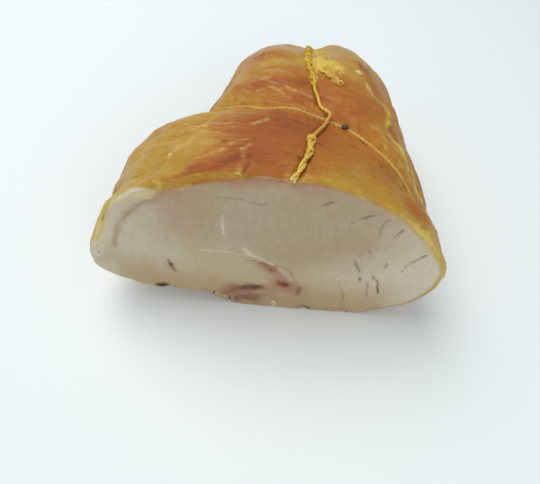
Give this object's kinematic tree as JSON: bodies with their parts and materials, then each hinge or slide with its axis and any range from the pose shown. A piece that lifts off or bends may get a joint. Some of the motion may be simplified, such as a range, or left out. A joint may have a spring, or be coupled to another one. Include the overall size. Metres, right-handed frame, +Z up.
{
  "type": "smoked turkey piece",
  "caption": "Half of a tied and smoked turkey breast roll, cut across, with brown skin, a pale cut face and yellowed butcher's twine.",
  "frame": {"origin": "middle of the piece's bounding box at its underside, on the surface that it rests on", "axes": "+Z up; +X to the right along the cut face, seen from the front; +Y back from the cut face along the roll"},
  "size_m": [0.1816, 0.1703, 0.0991],
  "materials": {
    "smoked_turkey": "satin",
    "butchers_twine": "matte"
  },
  "bodies": {
    "root": {"turkey_meat": "smoked_turkey", "twine_loop": "butchers_twine", "twine_lengthwise": "butchers_twine", "twine_frayed_end": "butchers_twine"}
  },
  "joints": []
}
